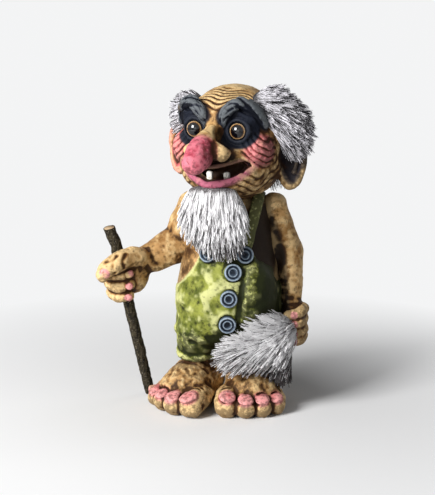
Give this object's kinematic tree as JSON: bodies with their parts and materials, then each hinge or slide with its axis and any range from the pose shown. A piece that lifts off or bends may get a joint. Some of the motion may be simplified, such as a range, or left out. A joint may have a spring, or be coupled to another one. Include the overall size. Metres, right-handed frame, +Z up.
{
  "type": "norwegian troll figure",
  "caption": "Barefoot folk troll in dungarees with a long nose, big ears, wild hair and a white beard, leaning on a twig and holding the tufted end of its tail.",
  "frame": {"origin": "middle of the figure's bounding box, on the floor that it stands on", "axes": "+Z up, the figure faces -Y, +X towards its own left hand"},
  "size_m": [0.1616, 0.1144, 0.2419],
  "materials": {
    "skin": "matt cast skin, ochre with a brown wash",
    "cloth": "matt cast cloth, yellow-green with a dark olive wash",
    "button": "matt slate blue with a dark wash",
    "tooth": "satin off-white",
    "eye": "polished amber with a black pupil",
    "white_fur": "long loose fur",
    "grey_fur": "long loose fur",
    "bark": "dark bark with light specks"
  },
  "bodies": {
    "figure": {"overalls": "cloth", "strap_right": "cloth", "strap_left": "cloth", "chest": "skin", "head": "skin", "arm_right": "skin", "arm_left": "skin", "foot_right": "skin", "foot_left": "skin", "tail": "skin", "tail_plume": "white_fur", "beard": "white_fur", "hair_back": "grey_fur", "hair_right": "grey_fur", "hair_left": "grey_fur", "eye_right": "eye", "eye_left": "eye", "tooth_right": "tooth", "tooth_left": "tooth", "button_right": "button", "button_left": "button", "button_upper": "button", "button_middle": "button", "button_lower": "button"},
    "stick": {"walking_stick": "bark"}
  },
  "joints": [
    {"name": "stick_draw", "type": "slide", "parent": "figure", "child": "stick", "axis": [-0.1703, -0.1987, 0.9651], "range_m": [0, 0.12]}
  ]
}
